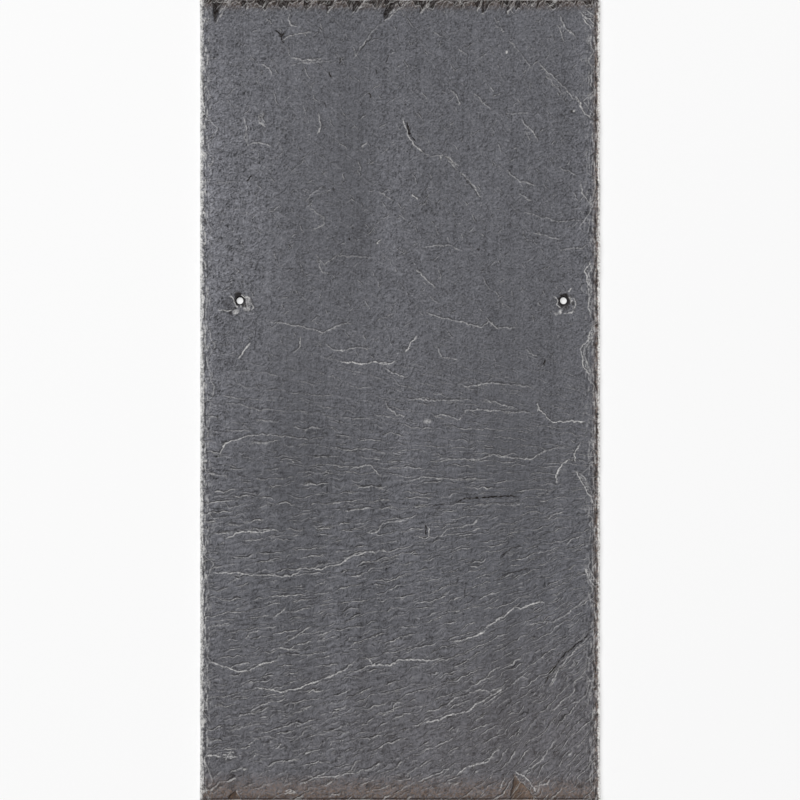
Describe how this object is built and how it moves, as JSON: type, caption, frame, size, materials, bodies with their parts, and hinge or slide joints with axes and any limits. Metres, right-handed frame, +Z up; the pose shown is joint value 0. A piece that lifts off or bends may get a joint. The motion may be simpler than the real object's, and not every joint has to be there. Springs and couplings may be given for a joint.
{
  "type": "slate roof tile",
  "caption": "Rectangular riven slate roof tile with flaked dressed edges and punched nail holes, laid in lapped courses to shed rain.",
  "frame": {"origin": "under the middle of the bed, on the surface that the slate lies on", "axes": "+Z up out of the weather face, +Y along the slate to its head, +X across the courses"},
  "size_m": [0.25, 0.5, 0.006],
  "materials": {
    "slate": "riven, dry, blue-grey"
  },
  "bodies": {
    "root": {"slate_tile": "slate"}
  },
  "joints": []
}
